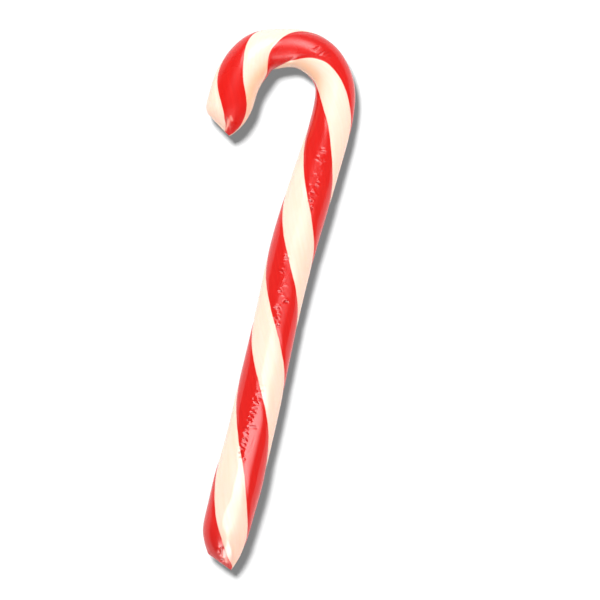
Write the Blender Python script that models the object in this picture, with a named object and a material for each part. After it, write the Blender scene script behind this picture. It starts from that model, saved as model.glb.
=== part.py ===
"""Models a peppermint candy cane, laid down flat, as one solid of boiled sugar.

Two red ropes and two white ropes of warm sugar are pressed together, twisted and
pulled into a stick, which is nipped off at both ends and bent over at one of them.
The stick is swept here along its middle line, from its foot to its nose. Its round
section has a soft groove where two ropes meet, and the grooves turn with the twist.
Underneath is a narrow flat from the slab that the cane cooled on.

+Y runs up the shaft to the crook, which bends over towards -X, and +Z is up.
The origin is under the middle of the cane, at the level of the flat.
"""

import math
from typing import NamedTuple

import bmesh
import bpy
import numpy as np

MM = 0.001

# The middle line: each bend starts and ends so many mm along it, and turns it left
# by so many degrees. The easing is the share of a bend that comes in, or goes out.
LINE_LENGTH = 191.0
LINE_STEP = 0.25
START_HEADING = 89.5
BENDS = (
    (30.5, 44.5, 1.9),
    (78.5, 102.5, -4.8),
    (122.5, 134.0, 9.2),
    (131.5, 160.5, 104.5),
    (160.5, 168.5, 43.5),
    (168.5, 179.5, 25.5),
)
BEND_EASING = 0.2

# The stick's radius in mm, at so many mm along the middle line. It is thickest at the
# foot, and thinnest over the top of the crook, where bending stretched it.
RADII = (
    (0.0, 6.98),
    (18.0, 6.98),
    (34.0, 6.58),
    (47.0, 6.50),
    (72.0, 6.18),
    (97.0, 6.50),
    (122.0, 6.07),
    (141.0, 5.97),
    (148.0, 5.83),
    (155.0, 5.40),
    (162.0, 5.78),
    (168.0, 6.35),
    (176.0, 6.48),
    (191.0, 6.40),
)

# How far the ropes have turned, in degrees, at so many mm along the middle line.
TWIST = (
    (0.0, 72.0),
    (12.0, 114.0),
    (30.0, 182.0),
    (47.0, 250.0),
    (68.0, 353.0),
    (91.5, 469.0),
    (111.5, 567.0),
    (127.0, 633.0),
    (147.0, 717.0),
    (157.0, 775.0),
    (166.0, 858.0),
    (177.0, 937.0),
    (191.0, 1005.0),
)

# The ropes, and the groove between two of them. More sharpness makes it narrower.
ROPES = 4
SIDES_PER_ROPE = 6
SIDES = ROPES * SIDES_PER_ROPE
GROOVE_DEPTH = 0.18
GROOVE_SHARPNESS = 3
RING_STEP = 1.25


class Nip(NamedTuple):
    """An end cut off warm with scissors, which press it to a blunt edge, on a slant."""

    cut_at: float  # mm along the middle line, where the cut crosses it
    length: float  # mm from the cut to where the stick is round
    width: float  # mm along the cut edge
    shift: float  # mm from the middle line to the middle of the edge, to the right
    slant: float  # degrees between the edge and square across the stick


FOOT = Nip(cut_at=0.8, length=11.0, width=9.4, shift=-0.7, slant=-27.0)
NOSE = Nip(cut_at=189.4, length=9.5, width=8.2, shift=1.8, slant=-27.5)
NIP_RINGS = 10
EDGE_THICKNESS = 1.1
# Powers of how near the cut is: the stick narrows late, turns sooner, thins soonest.
NARROWING = 2.3
TURNING = 2
THINNING = 0.62

# The flat underneath is as deep as this. Points nearer to it than the snap join it.
FLAT_DEPTH = 0.25
FLAT_SNAP = 0.02

# Name, linear colour and roughness of the ropes, which take turns.
SUGARS = (
    ("red_boiled_sugar", (0.80, 0.012, 0.015), 0.18),
    ("white_pulled_sugar", (0.97, 0.88, 0.72), 0.22),
)
SHARP_ANGLE = 50.0


def eased(share):
    """How much of a bend's turn is made after this share of its length."""
    share = min(max(share, 0.0), 1.0)
    coming_in = 2 * BEND_EASING * (1 - BEND_EASING)
    if share < BEND_EASING:
        return share**2 / coming_in
    if share > 1 - BEND_EASING:
        return 1 - (1 - share) ** 2 / coming_in
    return (share - BEND_EASING / 2) / (1 - BEND_EASING)


def heading_at(along):
    turns = (turn * eased((along - start) / (end - start)) for start, end, turn in BENDS)
    return math.radians(START_HEADING + sum(turns))


def middle_line():
    """Places along the middle line, and the x and y of each, from walking along it."""
    places = np.arange(0, LINE_LENGTH + LINE_STEP, LINE_STEP)
    headings = np.array([heading_at(place + LINE_STEP / 2) for place in places[:-1]])
    x = np.append(0, np.cumsum(np.cos(headings) * LINE_STEP))
    y = np.append(0, np.cumsum(np.sin(headings) * LINE_STEP))
    return places, x, y


def smooth_value(table, along):
    """The table's value at this place, on a smooth curve through all its rows."""
    places, values = np.array(table).T
    slopes = np.gradient(values, places)
    row = int(np.clip(np.searchsorted(places, along) - 1, 0, len(places) - 2))
    span = places[row + 1] - places[row]
    done = (along - places[row]) / span
    left = 1 - done
    return (
        values[row] * left**2 * (1 + 2 * done)
        + values[row + 1] * done**2 * (1 + 2 * left)
        + (slopes[row] * left - slopes[row + 1] * done) * span * done * left
    )


def ring_places():
    """Places for the rings: even along the stick, and close together at the cuts."""
    quarter = np.arange(NIP_RINGS) * math.pi / 2 / NIP_RINGS
    from_cut = 1 - np.cos(quarter)
    start = FOOT.cut_at + FOOT.length
    end = NOSE.cut_at - NOSE.length
    even = np.linspace(start, end, round((end - start) / RING_STEP) + 1)
    foot = FOOT.cut_at + FOOT.length * from_cut
    nose = NOSE.cut_at - NOSE.length * from_cut[::-1]
    return np.concatenate([foot, even, nose])


def ring_points(along, line):
    """The points of one ring, in mm, in the order of the sides round the ropes."""
    places, line_x, line_y = line
    nip = FOOT if along < LINE_LENGTH / 2 else NOSE
    nearness = 1 - min(abs(along - nip.cut_at) / nip.length, 1)
    radius = smooth_value(RADII, along)
    half_width = radius + (nip.width / 2 - radius) * nearness**NARROWING
    half_edge = EDGE_THICKNESS / 2
    half_height = half_edge + (radius - half_edge) * (1 - nearness**2) ** THINNING
    shift = nip.shift * nearness**TURNING
    direction = heading_at(along) + math.radians(nip.slant * nearness**TURNING - 90)
    twist = smooth_value(TWIST, along)
    points = []
    for side in range(SIDES):
        round_ropes = 2 * math.pi * side / SIDES
        bulge = abs(math.sin(round_ropes * ROPES / 2))
        size = 1 - GROOVE_DEPTH / radius * (1 - bulge) ** GROOVE_SHARPNESS
        angle = round_ropes + math.radians(twist)
        across = shift + half_width * size * math.cos(angle)
        x = np.interp(along, places, line_x) + across * math.cos(direction)
        y = np.interp(along, places, line_y) + across * math.sin(direction)
        z = radius - FLAT_DEPTH + half_height * size * math.sin(angle)
        points.append((x, y, z))
    return points


def put_ring(ring, points, side_of):
    for vertex in ring.verts:
        vertex.co = [value * MM for value in points[vertex[side_of]]]


def sweep_stick(bm):
    """Extrudes a ring along the middle line. Each point keeps its side's number."""
    line = middle_line()
    places = ring_places()
    side_of = bm.verts.layers.int.new("side")
    start = bmesh.ops.create_circle(bm, cap_ends=True, segments=SIDES, radius=MM)
    for side, vertex in enumerate(start["verts"]):
        vertex[side_of] = side
    foot = end = next(iter(bm.faces))
    put_ring(foot, ring_points(places[0], line), side_of)
    for along in places[1:]:
        extruded = bmesh.ops.extrude_face_region(bm, geom=[end])["geom"]
        if end is not foot:
            bm.faces.remove(end)
        end = next(item for item in extruded if isinstance(item, bmesh.types.BMFace))
        put_ring(end, ring_points(along, line), side_of)
    bmesh.ops.recalc_face_normals(bm, faces=bm.faces)
    for face in bm.faces:
        sides = sorted({vertex[side_of] for vertex in face.verts})
        side = sides[-1] if sides[-1] - sides[0] > 1 else sides[0]
        face.material_index = side // SIDES_PER_ROPE % len(SUGARS)


def press_flat(bm):
    """Cuts edges at the height of the slab, and presses all below them flat on it."""
    snap = FLAT_SNAP * MM
    geometry = [*bm.verts, *bm.edges, *bm.faces]
    bmesh.ops.bisect_plane(bm, geom=geometry, dist=snap, plane_no=(0, 0, 1))
    for vertex in bm.verts:
        if vertex.co.z < snap:
            vertex.co.z = 0


def centre_on_origin(bm):
    places = np.array([vertex.co for vertex in bm.verts])
    middle = (places.min(axis=0) + places.max(axis=0)) / 2
    bmesh.ops.translate(bm, verts=bm.verts, vec=(-middle[0], -middle[1], 0))


def sugar_material(name, colour, roughness):
    material = bpy.data.materials.new(name)
    material.use_nodes = True
    shader = material.node_tree.nodes["Principled BSDF"]
    shader.inputs["Base Color"].default_value = (*colour, 1)
    shader.inputs["Roughness"].default_value = roughness
    shader.inputs["Metallic"].default_value = 0
    return material


def make_candy_cane():
    bm = bmesh.new()
    sweep_stick(bm)
    press_flat(bm)
    centre_on_origin(bm)
    mesh = bpy.data.meshes.new("candy_cane")
    bm.to_mesh(mesh)
    bm.free()
    for sugar in SUGARS:
        mesh.materials.append(sugar_material(*sugar))
    mesh.shade_smooth()
    mesh.set_sharp_from_angle(angle=math.radians(SHARP_ANGLE))
    cane = bpy.data.objects.new("candy_cane", mesh)
    bpy.context.collection.objects.link(cane)


for old in list(bpy.data.objects):
    bpy.data.objects.remove(old)
make_candy_cane()
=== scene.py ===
"""A peppermint candy cane, laid down on a white table under soft studio light.

The stick is made as a confectioner makes it. Two red ropes and two white ropes of warm
sugar are laid side by side and drawn out straight. The straight stick is then twisted and
bent along a guide, its two ends are nipped off, small folds are pinched into its skin, and
it settles flat on the slab.
"""

import math
from typing import NamedTuple

import bpy
import numpy as np
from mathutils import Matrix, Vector


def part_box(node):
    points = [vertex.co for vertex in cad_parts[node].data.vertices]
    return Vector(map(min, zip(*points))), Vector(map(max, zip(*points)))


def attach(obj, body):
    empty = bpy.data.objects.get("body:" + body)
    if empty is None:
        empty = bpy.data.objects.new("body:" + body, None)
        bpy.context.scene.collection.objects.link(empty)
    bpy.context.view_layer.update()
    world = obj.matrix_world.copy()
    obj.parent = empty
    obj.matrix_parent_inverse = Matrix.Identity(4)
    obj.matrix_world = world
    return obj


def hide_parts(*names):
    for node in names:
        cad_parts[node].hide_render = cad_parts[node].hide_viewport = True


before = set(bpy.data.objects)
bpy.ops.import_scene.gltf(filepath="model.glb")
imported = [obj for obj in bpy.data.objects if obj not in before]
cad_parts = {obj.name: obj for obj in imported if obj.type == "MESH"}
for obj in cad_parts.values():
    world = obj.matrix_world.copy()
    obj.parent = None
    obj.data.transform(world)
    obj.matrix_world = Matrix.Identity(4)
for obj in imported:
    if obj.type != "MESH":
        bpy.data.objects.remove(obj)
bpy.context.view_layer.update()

MM = 0.001

# The middle line: each bend starts and ends so many mm along it, and turns it left
# by so many degrees. The easing is the share of a bend that comes in, or goes out.
LINE_LENGTH = 191.0
LINE_STEP = 0.25
START_HEADING = 89.5
BENDS = (
    (30.5, 44.5, 1.9),
    (78.5, 102.5, -4.8),
    (122.5, 134.0, 9.2),
    (131.5, 160.5, 104.5),
    (160.5, 168.5, 43.5),
    (168.5, 179.5, 25.5),
)
BEND_EASING = 0.2

# The stick's radius in mm, at so many mm along the middle line.
RADII = (
    (0.0, 6.58),
    (10.0, 6.62),
    (16.0, 6.74),
    (23.0, 6.92),
    (34.0, 6.58),
    (47.0, 6.50),
    (72.0, 6.18),
    (97.0, 6.50),
    (122.0, 6.04),
    (134.0, 5.74),
    (141.0, 5.48),
    (148.0, 5.66),
    (155.0, 5.40),
    (162.0, 5.78),
    (168.0, 6.35),
    (176.0, 6.48),
    (191.0, 6.40),
)

# How far the ropes have turned, in degrees, at so many mm along the middle line.
TWIST = (
    (0.0, 45.0),
    (1.6, 48.0),
    (3.2, 73.0),
    (6.0, 89.0),
    (9.0, 101.0),
    (12.0, 116.0),
    (30.0, 184.0),
    (47.0, 252.5),
    (68.0, 355.0),
    (91.5, 471.0),
    (111.5, 570.0),
    (127.0, 639.0),
    (137.0, 691.0),
    (147.0, 721.0),
    (152.0, 745.0),
    (157.0, 770.0),
    (162.0, 811.0),
    (166.0, 857.0),
    (177.0, 933.0),
    (184.0, 970.0),
    (191.0, 1010.0),
)

# By how many degrees each edge of the red ropes is squeezed in, at so many mm along the
# middle line. Below 0 they are spread out, as on the foot where the scissors closed.
RED_SQUEEZE = (
    (0.0, -42.0),
    (1.6, -38.0),
    (3.2, -14.0),
    (6.0, -3.0),
    (9.0, 0.0),
    (137.0, 0.0),
    (144.0, -2.0),
    (150.0, -6.5),
    (154.0, -7.0),
    (157.0, 0.0),
    (160.0, 4.0),
    (163.0, 5.0),
    (167.0, 1.0),
    (176.0, 3.0),
    (183.0, 8.0),
    (186.5, 12.0),
    (188.7, 22.0),
    (191.0, 30.0),
)

# The ropes, and the groove between two of them, which is so many mm deep in its middle
# and at its shoulders, one side away.
ROPES = 4
SIDES_PER_ROPE = 16
SIDES = ROPES * SIDES_PER_ROPE
GROOVE_DEPTH = 0.22
GROOVE_SHOULDER = 0.07
RING_STEP = 0.75


class Nip(NamedTuple):
    """An end cut off warm with scissors, which press it to a blunt edge, on a slant."""

    cut_at: float  # mm along the middle line, where the cut crosses it
    length: float  # mm from the cut to where the stick is round
    width: float  # mm along the cut edge
    shift: float  # mm from the middle line to the middle of the edge, to the right
    slant: float  # degrees between the edge and square across the stick


FOOT = Nip(cut_at=1.05, length=11.0, width=7.9, shift=0.6, slant=-21.0)
NOSE = Nip(cut_at=189.4, length=9.5, width=8.5, shift=1.9, slant=-31.0)
NIP_RINGS = 18
EDGE_THICKNESS = 1.1
# Powers of how near the cut is: the stick narrows late, turns sooner, thins soonest.
NARROWING = 2.3
TURNING = 2
THINNING = 0.62
# Points less than this many mm apart along the straight stick are on one ring.
SAME_RING = 0.01

# How many mm of the stick the slab presses flat.
FLAT_DEPTH = 0.25


class Fold(NamedTuple):
    """A small fold in the skin of the stick, or a patch of painted colour on it, which runs across it."""

    along: float  # mm along the middle line
    right: float  # mm to the right of it
    reach: float  # mm from its middle to its ends
    lean: float  # degrees that its right end leans towards the nose
    curl: float  # mm that its ends are bent back towards the foot
    width: float  # mm from its crest to where it has fallen to a third
    height: float  # mm, below 0 for a crease. For a painted patch, how strong it is


# The skin was pinched into small folds where it was pulled: in three rows along the top
# of the shaft, at the top of the crook, and where the scissors closed on the two ends.
FOOT_SIDE_FOLDS = (
    Fold(51.9, 0.9, 0.5, -30, 0.1, 0.30, 0.10),
    Fold(50.6, 0.7, 0.6, -20, 0.1, 0.30, -0.12),
    Fold(50.0, -0.2, 0.6, 20, 0.1, 0.30, 0.12),
    Fold(49.2, -1.2, 0.5, 5, 0.2, 0.28, 0.08),
    Fold(47.8, -1.8, 0.4, -10, 0.2, 0.28, 0.08),
    Fold(48.4, 0.6, 0.8, -20, 0.1, 0.30, -0.16),
    Fold(47.5, 0.0, 0.8, -10, 0.2, 0.30, 0.12),
    Fold(46.7, -0.2, 1.1, -10, 0.2, 0.30, -0.16),
    Fold(45.3, -0.3, 1.0, 8, 0.2, 0.30, -0.15),
    Fold(44.0, -0.5, 1.1, 0, 0.2, 0.32, -0.16),
    Fold(42.7, -0.8, 1.0, 5, 0.2, 0.32, -0.15),
    Fold(41.5, -1.1, 0.9, 0, 0.2, 0.30, -0.15),
    Fold(40.1, 0.2, 1.6, 4, 0.2, 0.34, -0.22),
    Fold(40.9, -1.1, 0.4, 0, 0.0, 0.26, 0.16),
    Fold(39.2, -1.6, 0.9, 0, 0.2, 0.30, -0.12),
    Fold(37.9, -1.3, 0.9, 0, 0.2, 0.34, -0.18),
    Fold(36.9, -1.0, 1.1, 0, 0.5, 0.30, 0.14),
    Fold(36.0, -1.2, 1.1, 0, 0.3, 0.32, -0.18),
    Fold(34.8, -1.3, 1.0, 0, 0.2, 0.32, -0.18),
    Fold(33.6, -1.3, 1.0, 0, 0.2, 0.32, -0.18),
    Fold(32.2, -1.5, 0.7, 0, 0.1, 0.34, -0.20),
    Fold(31.0, -1.2, 0.4, 0, 0.0, 0.30, -0.16),
    Fold(30.8, 0.1, 0.4, 20, 0.0, 0.28, -0.16),
    Fold(35.7, 1.3, 2.0, 88, 0.0, 0.24, -0.06),
    Fold(33.6, 0.9, 0.7, 60, 0.0, 0.22, -0.06),
    Fold(45.8, -1.3, 5.5, 84, 0.0, 1.20, -0.10),
    Fold(34.6, -2.2, 5.0, 86, 0.0, 0.90, 0.32),
)
# Where the foot narrows, its top is drawn into a soft ridge that bends to the right.
FOOT_RIDGE = (
    Fold(20.5, -0.6, 5.0, 96, 0.0, 1.40, 0.15),
    Fold(14.0, -1.8, 5.0, 90, 0.0, 1.50, 0.30),
    Fold(7.0, 2.0, 5.0, 118, 0.0, 1.20, 0.50),
)
MIDDLE_FOLDS = (
    Fold(88.6, -1.5, 1.4, 5, 0.4, 0.32, 0.17),
    Fold(87.9, -0.9, 0.9, 15, 0.3, 0.32, -0.21),
    Fold(86.3, -1.6, 0.9, 0, 0.3, 0.32, 0.10),
    Fold(84.7, -1.7, 1.2, -10, 0.4, 0.32, 0.15),
    Fold(84.0, -1.5, 0.9, -10, 0.3, 0.29, -0.18),
    Fold(82.3, -0.4, 1.0, 60, 0.2, 0.35, 0.08),
    Fold(80.6, 0.4, 0.9, 10, 0.3, 0.32, 0.08),
    Fold(79.2, -0.6, 0.9, 0, 0.4, 0.32, 0.17),
    Fold(78.5, -0.6, 0.7, 0, 0.2, 0.29, -0.18),
    Fold(77.7, 0.4, 0.8, -20, 0.2, 0.29, 0.10),
    Fold(76.7, 1.4, 1.0, 10, 0.3, 0.32, 0.19),
    Fold(76.0, 1.6, 0.8, 10, 0.2, 0.32, -0.30),
    Fold(74.5, -0.6, 1.6, 5, 0.7, 0.35, 0.17),
    Fold(73.8, -0.5, 1.2, 0, 0.6, 0.32, -0.21),
    Fold(72.6, 0.3, 1.0, -10, 0.4, 0.32, 0.13),
    Fold(71.6, 0.5, 0.9, -30, 0.2, 0.32, 0.15),
    Fold(70.9, -0.2, 0.8, 0, 0.2, 0.29, -0.18),
    Fold(69.8, 0.6, 1.0, 10, 0.5, 0.32, 0.17),
    Fold(69.2, 0.9, 0.5, 10, 0.2, 0.29, -0.26),
)
NOSE_SIDE_FOLDS = (
    Fold(119.8, 0.2, 1.2, 8, 0.0, 0.29, 0.17),
    Fold(119.1, 0.3, 1.0, 8, 0.0, 0.26, -0.12),
    Fold(117.3, -0.6, 1.2, -12, 0.2, 0.29, 0.13),
    Fold(117.0, 1.4, 0.5, 0, 0.0, 0.29, 0.11),
    Fold(116.6, -0.4, 1.1, -12, 0.2, 0.26, -0.12),
    Fold(115.2, 0.8, 1.1, 75, 0.3, 0.35, 0.10),
    Fold(113.6, 1.7, 0.9, 60, 0.2, 0.32, 0.10),
    Fold(112.4, 0.2, 1.0, 15, 0.3, 0.32, 0.10),
    Fold(111.2, 1.3, 0.6, 0, 0.2, 0.32, 0.15),
    Fold(110.6, 1.4, 0.6, 10, 0.2, 0.26, -0.14),
    Fold(110.0, 1.5, 0.8, 10, 0.3, 0.32, 0.19),
    Fold(109.4, 1.2, 0.6, 10, 0.2, 0.29, -0.20),
    Fold(109.0, -0.4, 0.9, -10, 0.3, 0.32, 0.11),
    Fold(108.0, 0.9, 0.9, -15, 0.4, 0.32, 0.19),
    Fold(107.3, 0.8, 0.8, -15, 0.3, 0.26, -0.16),
    Fold(107.2, 2.0, 0.6, 20, 0.2, 0.29, 0.15),
    Fold(106.7, -0.2, 0.9, 15, 0.4, 0.32, 0.15),
    Fold(106.1, 1.2, 0.7, 10, 0.3, 0.26, -0.14),
    Fold(105.6, 1.1, 1.0, 0, 0.5, 0.32, 0.21),
    Fold(105.0, 0.9, 0.8, 0, 0.3, 0.32, -0.28),
    Fold(104.0, 1.6, 0.6, -10, 0.2, 0.29, 0.17),
    Fold(103.0, 1.9, 0.8, -60, 0.0, 0.29, -0.24),
)
CROOK_FOLDS = (
    Fold(149.8, 0.9, 0.8, -60, 0.0, 0.25, -0.07),
    Fold(149.2, 1.6, 1.2, -25, 0.1, 0.26, -0.16),
    Fold(148.5, 1.3, 0.7, -10, 0.1, 0.22, -0.08),
    Fold(148.7, 0.1, 0.5, 0, 0.0, 0.30, 0.08),
    Fold(148.0, 1.6, 0.9, -15, 0.1, 0.22, -0.10),
    Fold(147.4, 1.7, 1.6, -17, 0.1, 0.26, -0.18),
    Fold(146.5, 2.3, 1.4, -15, 0.1, 0.26, -0.15),
    Fold(145.6, 2.3, 1.0, -15, 0.1, 0.24, -0.12),
)
END_FOLDS = (
    Fold(4.1, 0.3, 1.5, 106, 0.0, 0.32, -0.28),
    Fold(3.9, -0.3, 1.2, 106, 0.0, 0.30, 0.30),
    Fold(5.4, 0.3, 0.6, 10, 0.0, 0.26, -0.20),
    Fold(1.8, 1.3, 0.9, 20, 0.0, 0.28, -0.30),
    Fold(1.3, 1.0, 0.7, 10, 0.0, 0.40, 0.30),
    Fold(187.2, -0.5, 1.6, 96, 0.0, 0.34, -0.25),
    Fold(186.6, -1.3, 1.4, 110, 0.0, 0.30, 0.15),
)
FOLDS = FOOT_SIDE_FOLDS + MIDDLE_FOLDS + NOSE_SIDE_FOLDS + CROOK_FOLDS + END_FOLDS + FOOT_RIDGE

# Pale pink painted on at both ends: painted highlights along the scissors' creases, partly white sugar
# that the scissors smeared over the red.
SMEARS_AND_HIGHLIGHTS = (
    Fold(3.6, 1.5, 1.9, 105, 0.0, 0.75, 0.8),
    Fold(1.8, 2.4, 1.0, 120, 0.0, 0.6, 0.5),
    Fold(187.0, -0.9, 1.4, 92, 0.0, 0.5, 0.8),
    Fold(188.6, -0.8, 1.3, 84, 0.0, 0.25, 0.9),
    Fold(185.8, -1.5, 1.0, 125, 0.0, 0.3, 0.7),
)
# Painted shade and painted red bounce light: inside the crook, where the shaft shades it and its red light
# falls, the white sugar is painted peach.
CROOK_SHADE_PATCHES = (
    Fold(146.5, -4.6, 13.0, 90, 0.0, 1.7, 0.85),
    Fold(164.0, -4.6, 9.0, 90, 0.0, 1.7, 0.6),
    Fold(178.5, -4.6, 12.0, 90, 0.0, 1.7, 0.85),
)
# Painted shade in the creases: a crease this many mm deep is painted as deep a red as it can.
CREASE_DEPTH = 0.4
# The skin is split finer within this many mm of a fold.
FINE_SKIN = 0.7
# Points that would be lifted by less than this share of the most are left as they are.
LEAST_LIFT = 0.002

# The ropes' colours between the streaks of the pulling, and in them, and then the painted peach shade
# inside the crook, the painted shade in the creases, and the pale pink of the painted highlights and
# smears at the ends.
WHITE_SUGAR = ("#E9DCCF", "#E6D8C8")
RED_SUGAR = ("#C71C17", "#C21814")
CROOK_SHADE_PEACH = "#EAC3A0"
CREASE_SHADE_RED = "#9C1016"
SMEAR_AND_HIGHLIGHT_PINK = "#F6B4A8"

# Sizes in mm of what shows in the sugar itself.
STREAK_LENGTH = 14.0
STREAK_WIDTH = 0.9
CLOUD_SIZE = 4.0
HUMP_SIZE = 1.3
HUMP_HEIGHT = 0.02
# The streaks and the clouds are noises, and nearly all of each lies between two values.
STREAK_VALUES = (0.35, 0.65)
CLOUD_VALUES = (0.3, 0.7)
# How far the edge of a stripe wanders and blurs, as a product of the two axes of the
# straight stick's section, which is 1 mm in radius.
EDGE_WANDER = 0.012e-6
EDGE_BLUR = 0.025e-6
# The skin's roughness at so many mm along the middle line, and what the clouds in the
# sugar multiply it by.
PATCHINESS = (0.8, 1.25)
ROUGHNESS = (
    (0.0, 0.22),
    (14.0, 0.20),
    (28.0, 0.10),
    (52.0, 0.09),
    (66.0, 0.13),
    (90.0, 0.15),
    (106.0, 0.18),
    (126.0, 0.16),
    (143.0, 0.14),
    (149.0, 0.24),
    (158.0, 0.30),
    (165.0, 0.20),
    (176.0, 0.30),
    (191.0, 0.34),
)
# How much it shines, at so many mm along the middle line. The handled nose has a bloom
# of fine crystals.
SHINE = (
    (0.0, 0.5),
    (166.0, 0.5),
    (178.0, 0.18),
    (191.0, 0.15),
)
SUGAR_IOR = 1.5
# The share of the light that goes in, and how many mm of sugar red, green and blue cross.
LIGHT_LET_IN = 0.3
LIGHT_REACH = (2.5, 1.125, 0.75)

# The camera looks straight down, turned a little, from far off. In mm and degrees.
CAMERA_OVER = (18.15, 2.17)
CAMERA_TURN = 14.02
VIEW_WIDTH = 168.0
LENS = 200.0
SENSOR = 36.0
MIDDLE_HEIGHT = 6.5
FARTHEST_SEEN = 10.0  # m

TABLE_SIZE = 3.0  # m
TABLE_GRAIN = 0.8  # mm
TABLE_GRAIN_DEPTH = 0.01  # mm


def linear(hex_colour):
    """An sRGB hex colour as linear RGBA."""
    values = [int(hex_colour[i : i + 2], 16) / 255 for i in (1, 3, 5)]
    rgb = [v / 12.92 if v <= 0.04045 else ((v + 0.055) / 1.055) ** 2.4 for v in values]
    return (*rgb, 1.0)


def eased(share):
    """How much of a bend's turn is made after this share of its length."""
    share = min(max(share, 0.0), 1.0)
    coming_in = 2 * BEND_EASING * (1 - BEND_EASING)
    if share < BEND_EASING:
        return share**2 / coming_in
    if share > 1 - BEND_EASING:
        return 1 - (1 - share) ** 2 / coming_in
    return (share - BEND_EASING / 2) / (1 - BEND_EASING)


def heading_at(along):
    turns = (turn * eased((along - start) / (end - start)) for start, end, turn in BENDS)
    return math.radians(START_HEADING + sum(turns))


def smooth_value(table, along):
    """The table's value at this place, on a smooth curve through all its rows."""
    places, values = np.array(table).T
    slopes = np.gradient(values, places)
    row = int(np.clip(np.searchsorted(places, along) - 1, 0, len(places) - 2))
    span = places[row + 1] - places[row]
    done = (along - places[row]) / span
    left = 1 - done
    return (
        values[row] * left**2 * (1 + 2 * done)
        + values[row + 1] * done**2 * (1 + 2 * left)
        + (slopes[row] * left - slopes[row + 1] * done) * span * done * left
    )


def middle_line():
    """Places along the middle line, and the x and y of each, from walking along it."""
    places = np.arange(0, LINE_LENGTH + LINE_STEP, LINE_STEP)
    headings = np.array([heading_at(place + LINE_STEP / 2) for place in places[:-1]])
    x = np.append(0, np.cumsum(np.cos(headings) * LINE_STEP))
    y = np.append(0, np.cumsum(np.sin(headings) * LINE_STEP))
    return places, x, y


def ring_places():
    """Places for the rings: even along the stick, and close together at the cuts."""
    quarter = np.arange(NIP_RINGS) * math.pi / 2 / NIP_RINGS
    from_cut = 1 - np.cos(quarter)
    start = FOOT.cut_at + FOOT.length
    end = NOSE.cut_at - NOSE.length
    even = np.linspace(start, end, round((end - start) / RING_STEP) + 1)
    foot = FOOT.cut_at + FOOT.length * from_cut
    nose = NOSE.cut_at - NOSE.length * from_cut[::-1]
    return foot, even, nose


def only(piece):
    """Makes this piece the one selected and active."""
    bpy.ops.object.select_all(action="DESELECT")
    piece.select_set(True)
    bpy.context.view_layer.objects.active = piece


def apply_modifier(piece, kind, **settings):
    only(piece)
    modifier = piece.modifiers.new(kind.lower(), kind)
    for name, value in settings.items():
        setattr(modifier, name, value)
    bpy.ops.object.modifier_apply(modifier=modifier.name)


def choose(piece, chosen):
    """Selects these points of the piece, and goes into edit mode."""
    only(piece)
    bpy.ops.object.mode_set(mode="EDIT")
    bpy.ops.mesh.select_mode(type="VERT")
    bpy.ops.mesh.select_all(action="DESELECT")
    bpy.ops.object.mode_set(mode="OBJECT")
    piece.data.vertices.foreach_set("select", chosen)
    bpy.ops.object.mode_set(mode="EDIT")


def points_of(piece):
    points = np.empty(len(piece.data.vertices) * 3, np.float32)
    piece.data.vertices.foreach_get("co", points)
    return points.reshape(-1, 3)


def lay_guide():
    """The middle line as a curve. Its tilt is the twist, and its radius the stick's."""
    places, line_x, line_y = middle_line()
    curve = bpy.data.curves.new("guide", "CURVE")
    curve.dimensions = "3D"
    curve.twist_mode = "Z_UP"
    spline = curve.splines.new("POLY")
    spline.points.add(len(places) - 1)
    for point, place, x, y in zip(spline.points, places, line_x, line_y):
        radius = smooth_value(RADII, place)
        point.co = (x * MM, y * MM, (radius - FLAT_DEPTH) * MM, 1)
        point.radius = radius
        point.tilt = -math.radians(smooth_value(TWIST, place))
    guide = bpy.data.objects.new("guide", curve)
    bpy.context.collection.objects.link(guide)
    return guide


def draw_out_ropes():
    """Four ropes side by side, drawn out straight along X, as a stick 1 mm in radius."""
    foot, even, nose = ring_places()
    bpy.ops.object.select_all(action="DESELECT")
    bpy.ops.mesh.primitive_circle_add(vertices=SIDES, radius=MM, fill_type="NGON")
    stick = bpy.context.object
    stick.name = "twisted_candy"
    for depth, sides_off in ((GROOVE_DEPTH, 0), (GROOVE_SHOULDER, 1)):
        near = np.arange(SIDES) % SIDES_PER_ROPE
        choose(stick, np.minimum(near, SIDES_PER_ROPE - near) == sides_off)
        shrunk = 1 - depth / RADII[0][1]
        bpy.ops.transform.resize(value=(shrunk, shrunk, 1))
        bpy.ops.object.mode_set(mode="OBJECT")
    stick.rotation_euler = (math.pi / 2, 0, math.pi / 2)
    stick.location = (foot[0] * MM, 0, 0)
    only(stick)
    bpy.ops.object.transform_apply()
    bpy.ops.object.mode_set(mode="EDIT")
    bpy.ops.mesh.select_all(action="SELECT")
    for step in np.diff([*foot, even[0]]):
        bpy.ops.mesh.extrude_region_move(TRANSFORM_OT_translate={"value": (step * MM, 0, 0)})
    spacing = (even[-1] - even[0]) / (len(even) - 1)
    bpy.ops.mesh.extrude_repeat(steps=len(even) - 1, offset=(spacing * MM, 0, 0))
    for step in np.diff([even[-1], *nose]):
        bpy.ops.mesh.extrude_region_move(TRANSFORM_OT_translate={"value": (step * MM, 0, 0)})
    bpy.ops.object.mode_set(mode="OBJECT")
    return stick


def turn(angle, centre):
    """Turns what is selected left about the vertical. In the background Blender turns
    the other way."""
    bpy.ops.transform.rotate(value=-angle, orient_axis="Z", center_override=centre)


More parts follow.
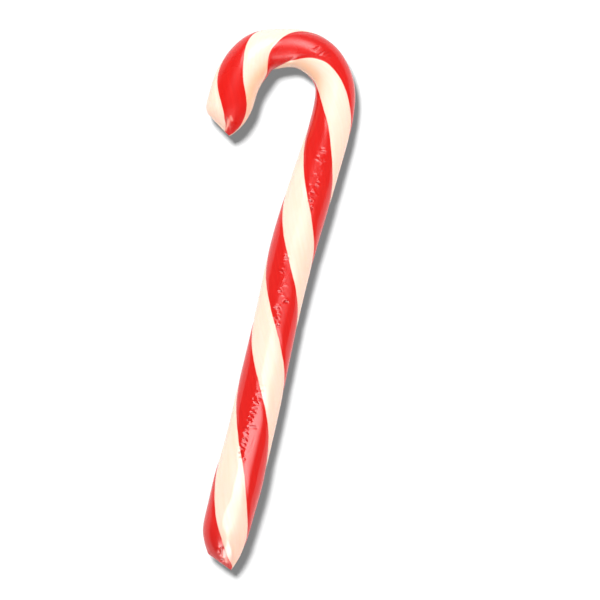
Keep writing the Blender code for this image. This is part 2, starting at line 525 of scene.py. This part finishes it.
def nip(stick, straight, end):
    """Presses the rings near a cut flatter and narrower, and slants them, ring by ring."""
    places, line_x, line_y = middle_line()
    rings = np.unique(np.round(straight[:, 0] / MM, 3))
    for along in rings[np.abs(rings - end.cut_at) < end.length]:
        nearness = 1 - abs(along - end.cut_at) / end.length
        radius = smooth_value(RADII, along)
        half_width = radius + (end.width / 2 - radius) * nearness**NARROWING
        half_edge = EDGE_THICKNESS / 2
        half_height = half_edge + (radius - half_edge) * (1 - nearness**2) ** THINNING
        shift = end.shift * nearness**TURNING * MM
        square_across = heading_at(along) - math.pi / 2
        slant = math.radians(end.slant * nearness**TURNING)
        direction = square_across + slant
        x = np.interp(along, places, line_x)
        y = np.interp(along, places, line_y)
        centre = Vector((x, y, radius - FLAT_DEPTH)) * MM
        choose(stick, np.abs(straight[:, 0] / MM - along) < SAME_RING)
        turn(-square_across, centre)
        squeeze = (half_width / radius, 1, half_height / radius)
        bpy.ops.transform.resize(value=squeeze, center_override=centre)
        turn(direction, centre)
        aside = (shift * math.cos(direction), shift * math.sin(direction), 0)
        bpy.ops.transform.translate(value=aside)
        bpy.ops.object.mode_set(mode="OBJECT")


def settle_flat(stick):
    """Presses what hangs below the slab up onto it."""
    choose(stick, points_of(stick)[:, 2] < 0)
    bpy.ops.transform.resize(value=(1, 1, 0), center_override=(0, 0, 0))
    bpy.ops.object.mode_set(mode="OBJECT")


def centre_in_box(piece, box):
    """Moves the piece's points so that its own box is centred in this one."""
    points = points_of(piece)
    middle = (points.min(axis=0) + points.max(axis=0)) / 2
    wanted = (box[0] + box[1]) / 2
    piece.location = (wanted.x - middle[0], wanted.y - middle[1], 0)
    only(piece)
    bpy.ops.object.transform_apply()


def remember_straight(stick):
    """Keeps each point's place on the straight stick, which the stripes follow."""
    straight = points_of(stick)
    kept = stick.data.attributes.new("on_straight_stick", "FLOAT_VECTOR", "POINT")
    kept.data.foreach_set("vector", straight.ravel())
    return straight


def places_on_stick(stick):
    """Each point's mm along the middle line, its mm to the right of it, and whether it
    is on the upper half."""
    kept = stick.data.attributes["on_straight_stick"].data
    straight = np.empty(len(kept) * 3, np.float32)
    kept.foreach_get("vector", straight)
    nearby = straight[::3] / MM
    x, y, z = points_of(stick).T / MM
    places, line_x, line_y = middle_line()
    headings = np.interp(nearby, places, [heading_at(place) for place in places])
    from_line_x = x - np.interp(nearby, places, line_x)
    from_line_y = y - np.interp(nearby, places, line_y)
    along = nearby + from_line_x * np.cos(headings) + from_line_y * np.sin(headings)
    right = from_line_x * np.sin(headings) - from_line_y * np.cos(headings)
    radii = np.interp(nearby, places, [smooth_value(RADII, place) for place in places])
    return along, right, z > radii - FLAT_DEPTH


def fold_heights(fold, along, right):
    """How far this fold lifts the skin at each place."""
    lean = math.radians(fold.lean)
    to_right = right - fold.right
    to_nose = along - fold.along
    lengthwise = (to_right * math.cos(lean) + to_nose * math.sin(lean)) / fold.reach
    crosswise = to_nose * math.cos(lean) - to_right * math.sin(lean)
    crosswise = crosswise + fold.curl * lengthwise**2
    fade = np.clip(1 - lengthwise**2, 0, 1)
    return fold.height * fade * np.exp(-((crosswise / fold.width) ** 2))


def mark(piece, name, weights):
    """Paints a group with these weights, and leaves out the points that get next to none."""
    group = piece.vertex_groups.new(name=name)
    for index in np.flatnonzero(weights > LEAST_LIFT):
        group.add([int(index)], float(weights[index]), "REPLACE")


def fold_skin(stick):
    """Splits the skin finer around the folds, and lifts and presses them into it."""
    along, right, upper = places_on_stick(stick)
    near = np.zeros(len(along), bool)
    for fold in FOLDS:
        if fold.width < FINE_SKIN:
            reach = fold.reach + FINE_SKIN
            near |= np.hypot(along - fold.along, right - fold.right) < reach
    choose(stick, near & upper)
    bpy.ops.mesh.subdivide(number_cuts=1)
    bpy.ops.object.mode_set(mode="OBJECT")
    along, right, upper = places_on_stick(stick)
    heights = sum(fold_heights(fold, along, right) for fold in FOLDS) * upper
    for name, lifted in (("lifted", heights), ("pressed", -heights)):
        lifted = np.clip(lifted, 0, None)
        mark(stick, name, lifted / lifted.max())
        strength = lifted.max() * MM * (1 if name == "lifted" else -1)
        apply_modifier(stick, "DISPLACE", vertex_group=name, strength=strength, mid_level=0)
    stick.vertex_groups.clear()
    # Shares for the painted highlights and smears at the ends, the painted shade in the creases and the
    # painted shade inside the crook.
    smear_and_highlight = sum(fold_heights(painted_patch, along, right) for painted_patch in SMEARS_AND_HIGHLIGHTS) * upper
    creases = [fold for fold in FOLDS if fold.height < 0 and fold.width < FINE_SKIN]
    crease_shade = -sum(fold_heights(crease, along, right) for crease in creases) * upper
    crook_shade = sum(fold_heights(crook_patch, along, right) for crook_patch in CROOK_SHADE_PATCHES)
    shares = {"smear_and_highlight": smear_and_highlight, "crease_shade": crease_shade / CREASE_DEPTH, "crook_shade": crook_shade}
    for name, values in shares.items():
        kept = stick.data.attributes.new(name, "FLOAT", "POINT")
        kept.data.foreach_set("value", np.clip(values, 0, 1).astype(np.float32))


def make_cane():
    stick = draw_out_ropes()
    straight = remember_straight(stick)
    guide = lay_guide()
    apply_modifier(stick, "CURVE", object=guide, deform_axis="POS_X")
    bpy.data.objects.remove(guide)
    for end in (FOOT, NOSE):
        nip(stick, straight, end)
    apply_modifier(stick, "SUBSURF", levels=1, render_levels=1)
    fold_skin(stick)
    settle_flat(stick)
    centre_in_box(stick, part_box("candy_cane"))
    only(stick)
    bpy.ops.object.shade_smooth()
    stick.data.materials.append(striped_sugar())
    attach(stick, "root")
    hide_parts("candy_cane")
    # The table shows its shadow, but doesn't pick up its red.
    stick.visible_diffuse = False
    return stick


def add(tree, kind, links=(), **settings):
    """Adds a shader node, sets its settings and values, and links its inputs."""
    node = tree.nodes.new(kind)
    for name, value in settings.items():
        setattr(node, name, value)
    for socket, source in dict(links).items():
        if isinstance(source, bpy.types.NodeSocket):
            tree.links.new(source, node.inputs[socket])
        else:
            node.inputs[socket].default_value = source
    return node


def new_material(name):
    material = bpy.data.materials.new(name)
    material.use_nodes = True
    tree = material.node_tree
    return material, tree, tree.nodes["Principled BSDF"]


def ramp_along(tree, along, table):
    """The table's value along the stick, as a grey."""
    ramp = add(tree, "ShaderNodeValToRGB", {0: along})
    stops = ramp.color_ramp.elements
    for _ in table[2:]:
        stops.new(0.5)
    for stop, (place_on_line, value) in zip(stops, table):
        stop.position = place_on_line / LINE_LENGTH
        stop.color = (value, value, value, 1)
    return ramp


def red_ropes(tree, axes, along, clouds):
    """1 on the red ropes and 0 on the white ones. They meet where either axis of the
    straight stick's section is crossed, or as far off it as the red is squeezed in."""
    product = add(
        tree, "ShaderNodeMath", {0: axes.outputs[1], 1: axes.outputs[2]}, operation="MULTIPLY"
    )
    wander = add(
        tree,
        "ShaderNodeMapRange",
        {
            "Value": clouds,
            "From Min": CLOUD_VALUES[0],
            "From Max": CLOUD_VALUES[1],
            "To Min": -EDGE_WANDER,
            "To Max": EDGE_WANDER,
        },
    )
    wandering = add(
        tree, "ShaderNodeMath", {0: product.outputs[0], 1: wander.outputs[0]}, operation="ADD"
    )
    # A ramp holds nothing below 0, so half is where the red isn't squeezed at all.
    in_from_edge = [
        (place_on_line, (1 + math.sin(2 * math.radians(degrees))) / 2)
        for place_on_line, degrees in RED_SQUEEZE
    ]
    squeeze = ramp_along(tree, along, in_from_edge)
    squeezed = add(
        tree,
        "ShaderNodeMath",
        {0: squeeze.outputs[0], 1: MM**2, 2: wandering.outputs[0]},
        operation="MULTIPLY_ADD",
    )
    edge = MM**2 / 2
    red_share = add(
        tree,
        "ShaderNodeMapRange",
        {
            "Value": squeezed.outputs[0],
            "From Min": edge + EDGE_BLUR,
            "From Max": edge - EDGE_BLUR,
        },
        interpolation_type="SMOOTHSTEP",
    )
    return red_share.outputs[0]


def pulled_streaks(tree, place):
    """From 0 to 1, in streaks as long as the pull and under a millimetre across."""
    per_width = RADII[0][1] / (STREAK_WIDTH * MM)
    stretched = add(
        tree,
        "ShaderNodeVectorMath",
        {0: place.outputs["Vector"], 1: (1 / (STREAK_LENGTH * MM), per_width, per_width)},
        operation="MULTIPLY",
    )
    streaks = add(
        tree, "ShaderNodeTexNoise", {"Vector": stretched.outputs[0], "Scale": 1.0, "Detail": 3.0}
    )
    lowest, highest = STREAK_VALUES
    share = add(
        tree,
        "ShaderNodeMapRange",
        {"Value": streaks.outputs[0], "From Min": lowest, "From Max": highest},
    )
    return share.outputs[0]


def sugar_colour(tree, streaks, red_here):
    """White ropes, with painted peach shade inside the crook, and red ones, with painted shade in the
    creases and painted highlights, partly smears, on top.
    """
    crook_shade, crease_shade, smear_and_highlight = (
        add(tree, "ShaderNodeAttribute", attribute_name=name).outputs["Fac"]
        for name in ("crook_shade", "crease_shade", "smear_and_highlight")
    )
    clear_red, streaky_red = (linear(colour) for colour in RED_SUGAR)
    clear_white, streaky_white = (linear(colour) for colour in WHITE_SUGAR)
    red = add(
        tree, "ShaderNodeMix", {0: streaks, 6: clear_red, 7: streaky_red}, data_type="RGBA"
    )
    layers = (
        (streaks, streaky_white),
        (crook_shade, linear(CROOK_SHADE_PEACH)),
        (red_here, red.outputs[2]),
        (crease_shade, linear(CREASE_SHADE_RED)),
        (smear_and_highlight, linear(SMEAR_AND_HIGHLIGHT_PINK)),
    )
    colour = clear_white
    for share, layer in layers:
        mixed = add(tree, "ShaderNodeMix", {0: share, 6: colour, 7: layer}, data_type="RGBA")
        colour = mixed.outputs[2]
    return colour


def striped_sugar():
    """Sugar boiled clear, pulled until air clouds it, dyed red in two of the ropes, and
    left to set. It is glossy where the skin set untouched and duller where it was handled,
    it lets some light in, and the pulling leaves faint streaks along the ropes."""
    material, tree, shader = new_material("glossy_boiled_sugar")
    place = add(tree, "ShaderNodeAttribute", attribute_name="on_straight_stick")
    axes = add(tree, "ShaderNodeSeparateXYZ", {0: place.outputs["Vector"]})
    on_line = add(
        tree, "ShaderNodeMath", {0: axes.outputs[0], 1: LINE_LENGTH * MM}, operation="DIVIDE"
    )
    along = on_line.outputs[0]
    on_skin = add(tree, "ShaderNodeTexCoord")
    clouds = add(
        tree,
        "ShaderNodeTexNoise",
        {"Vector": on_skin.outputs["Object"], "Scale": 1 / (CLOUD_SIZE * MM), "Detail": 2.0},
    )
    red_here = red_ropes(tree, axes, along, clouds.outputs[0])
    colour = sugar_colour(tree, pulled_streaks(tree, place), red_here)
    tree.links.new(colour, shader.inputs["Base Color"])

    handled = ramp_along(tree, along, ROUGHNESS)
    patchy = add(
        tree,
        "ShaderNodeMapRange",
        {
            "Value": clouds.outputs[0],
            "From Min": CLOUD_VALUES[0],
            "From Max": CLOUD_VALUES[1],
            "To Min": PATCHINESS[0],
            "To Max": PATCHINESS[1],
        },
    )
    roughness = add(
        tree, "ShaderNodeMath", {0: handled.outputs[0], 1: patchy.outputs[0]}, operation="MULTIPLY"
    )
    tree.links.new(roughness.outputs[0], shader.inputs["Roughness"])
    shine = ramp_along(tree, along, SHINE)
    tree.links.new(shine.outputs[0], shader.inputs["Specular IOR Level"])

    # The skin set with a faint unevenness, about a millimetre from hump to hump.
    humps = add(
        tree,
        "ShaderNodeTexNoise",
        {"Vector": on_skin.outputs["Object"], "Scale": 1 / (HUMP_SIZE * MM), "Detail": 2.0},
    )
    bump = add(
        tree,
        "ShaderNodeBump",
        {"Height": humps.outputs[0], "Distance": HUMP_HEIGHT * MM, "Strength": 1.0},
    )
    tree.links.new(bump.outputs[0], shader.inputs["Normal"])
    longest = LIGHT_REACH[0]
    shader.inputs["IOR"].default_value = SUGAR_IOR
    shader.inputs["Subsurface Weight"].default_value = LIGHT_LET_IN
    shader.inputs["Subsurface Radius"].default_value = [reach / longest for reach in LIGHT_REACH]
    shader.inputs["Subsurface Scale"].default_value = longest * MM
    return material


def make_camera():
    data = bpy.data.cameras.new("camera")
    data.lens = LENS
    data.sensor_width = SENSOR
    camera = bpy.data.objects.new("camera", data)
    distance = VIEW_WIDTH * LENS / SENSOR
    over_x, over_y = CAMERA_OVER
    camera.location = Vector((over_x, over_y, MIDDLE_HEIGHT + distance)) * MM
    camera.rotation_euler = (0, 0, math.radians(CAMERA_TURN))
    data.clip_end = FARTHEST_SEEN
    bpy.context.collection.objects.link(camera)
    bpy.context.scene.camera = camera


def white_laminate():
    """Paper pressed in melamine resin with a fine matt texture, which scatters light."""
    material, tree, shader = new_material("matt_white_laminate")
    on_top = add(tree, "ShaderNodeTexCoord")
    grain = add(
        tree,
        "ShaderNodeTexNoise",
        {"Vector": on_top.outputs["Object"], "Scale": 1 / (TABLE_GRAIN * MM), "Detail": 3.0},
    )
    colour = add(
        tree,
        "ShaderNodeMix",
        {0: grain.outputs[0], 6: linear("#F5F5F5"), 7: linear("#F3F3F3")},
        data_type="RGBA",
    )
    bump = add(tree, "ShaderNodeBump", {"Height": grain.outputs[0], "Distance": TABLE_GRAIN_DEPTH * MM})
    tree.links.new(colour.outputs[2], shader.inputs["Base Color"])
    tree.links.new(bump.outputs[0], shader.inputs["Normal"])
    shader.inputs["Roughness"].default_value = 0.8
    shader.inputs["Specular IOR Level"].default_value = 0.2
    return material


def make_table():
    bpy.ops.object.select_all(action="DESELECT")
    bpy.ops.mesh.primitive_plane_add(size=TABLE_SIZE)
    table = bpy.context.object
    table.name = "white_table"
    table.data.materials.append(white_laminate())
    return table


class Box(NamedTuple):
    """A light box. The fades are the shares of its size over which its glow fades away
    towards its left, right, lower and upper edge, so that its reflection has soft ends."""

    name: str
    falls_on: str  # "cane" or "table"
    kind: str  # "matt" where it only lights, "gloss" where it only shines, or "both"
    across: float  # m
    upright: float  # m
    radiance: float
    colour: str
    fades: tuple = (0, 0, 0, 0)


def make_box(box, receivers):
    """The light box, facing down at the origin. Its power follows from its radiance."""
    data = bpy.data.lights.new(box.name, "AREA")
    data.shape = "RECTANGLE"
    data.size = box.across
    data.size_y = box.upright
    data.energy = box.radiance * math.pi * box.across * box.upright
    data.color = linear(box.colour)[:3]
    data.use_nodes = True
    tree = data.node_tree
    glow = tree.nodes["Emission"].inputs["Strength"]
    place = add(tree, "ShaderNodeNewGeometry")
    axes = add(tree, "ShaderNodeSeparateXYZ", {0: place.outputs["Parametric"]})
    strength = 1.0
    for axis, from_edge, fade in zip((0, 0, 1, 1), (0, 1, 0, 1), box.fades):
        if not fade:
            continue
        inside = from_edge + fade - 2 * from_edge * fade
        edge = add(
            tree,
            "ShaderNodeMapRange",
            {"Value": axes.outputs[axis], "From Min": from_edge, "From Max": inside},
            interpolation_type="SMOOTHSTEP",
        )
        product = add(
            tree, "ShaderNodeMath", {0: edge.outputs[0], 1: strength}, operation="MULTIPLY"
        )
        strength = product.outputs[0]
        tree.links.new(strength, glow)
    light = bpy.data.objects.new(box.name, data)
    light.visible_glossy = box.kind != "matt"
    light.visible_diffuse = box.kind != "gloss"
    light.visible_camera = False
    light.light_linking.receiver_collection = receivers[box.falls_on]
    bpy.context.collection.objects.link(light)
    return light


WHITE = "#FFFFFF"
# The side that each box hangs on, in degrees left of +X, its height in degrees above the
# table, and its distance in m from the cane, which it faces.
BOXES = (
    (132.6, 64.5, 2.4, Box("table_lamp", "table", "both", 0.51, 0.51, 78.0, WHITE)),
    (105.0, 71.0, 0.6, Box("sky_box", "cane", "matt", 0.6, 0.6, 4.0, WHITE)),
    (90.0, 30.0, 0.6, Box("north_box", "cane", "matt", 0.5, 0.5, 0.9, WHITE)),
    (270.0, 25.0, 0.6, Box("south_box", "cane", "matt", 0.5, 0.5, 0.8, "#FF8A50")),
    (180.0, 22.0, 0.6, Box("left_box", "cane", "matt", 0.5, 0.5, 2.35, "#FFA46C")),
    (0.0, 22.0, 0.6, Box("right_box", "cane", "matt", 0.5, 0.5, 2.7, "#FF9A66")),
    (102.0, 52.0, 0.6, Box("upper_box", "cane", "gloss", 0.48, 0.7, 7.5, WHITE, (0.45, 0.45, 0.5, 0.5))),
    (290.0, 7.0, 0.6, Box("lower_box", "cane", "gloss", 0.3, 0.12, 2.4, "#FFF0E8", (0.3, 0.3, 0.3, 0.3))),
)

# Three boxes low over the cane, with the x and y of each in m. Their reflections run along
# the shaft and down the foot, on the middle and to the right of it. Each has a sharper
# edge on the left than on the right, and fades away at its ends.
STRIP_HEIGHT = 0.1
STRIPS = (
    (0.067, -0.0525, Box("foot_strip", "cane", "gloss", 0.155, 0.135, 7.3, WHITE, (0.05, 0.75, 0.5, 0.4))),
    (0.022, -0.1, Box("toe_strip", "cane", "gloss", 0.06, 0.08, 7.0, WHITE, (0.2, 0.5, 0.2, 0.3))),
    (0.067, -0.035, Box("long_strip", "cane", "gloss", 0.155, 0.17, 3.4, WHITE, (0.05, 0.75, 0.1, 0.3))),
)
# A small one low in front of the foot, with where it stands and where it aims, whose
# reflection runs down the foot to the edge that the scissors left.
TIP_BOX = Box("tip_box", "cane", "gloss", 0.1, 0.08, 13.0, WHITE, (0.3, 0.3, 0.3, 0.3))
TIP_BOX_AT = (0.022, -0.147, 0.05)
TIP_BOX_AIM = (0.0155, -0.069, 0.012)
# How strongly the white room around the boxes glows.
ROOM_LIGHT = 0.25


def face(light, direction):
    """Turns the light to shine this way."""
    light.rotation_mode = "QUATERNION"
    light.rotation_quaternion = direction.to_track_quat("-Z", "Y")


def hang_boxes(receivers):
    for side, height, distance, box in BOXES:
        light = make_box(box, receivers)
        side = math.radians(side)
        height = math.radians(height)
        level = math.cos(height)
        toward = Vector((math.cos(side) * level, math.sin(side) * level, math.sin(height)))
        light.location = toward * distance
        face(light, -toward)
    for x, y, box in STRIPS:
        make_box(box, receivers).location = (x, y, STRIP_HEIGHT)
    light = make_box(TIP_BOX, receivers)
    light.location = TIP_BOX_AT
    face(light, Vector(TIP_BOX_AIM) - Vector(TIP_BOX_AT))


def light_scene(cane, table):
    scene = bpy.context.scene
    scene.view_settings.view_transform = "Standard"
    world = bpy.data.worlds.new("studio")
    world.use_nodes = True
    background = world.node_tree.nodes["Background"]
    background.inputs["Color"].default_value = linear(WHITE)
    background.inputs["Strength"].default_value = ROOM_LIGHT
    scene.world = world
    receivers = {}
    for name, thing in (("cane", cane), ("table", table)):
        receivers[name] = bpy.data.collections.new(f"lights_on_{name}")
        receivers[name].objects.link(thing)
    hang_boxes(receivers)


cane = make_cane()
table = make_table()
make_camera()
light_scene(cane, table)
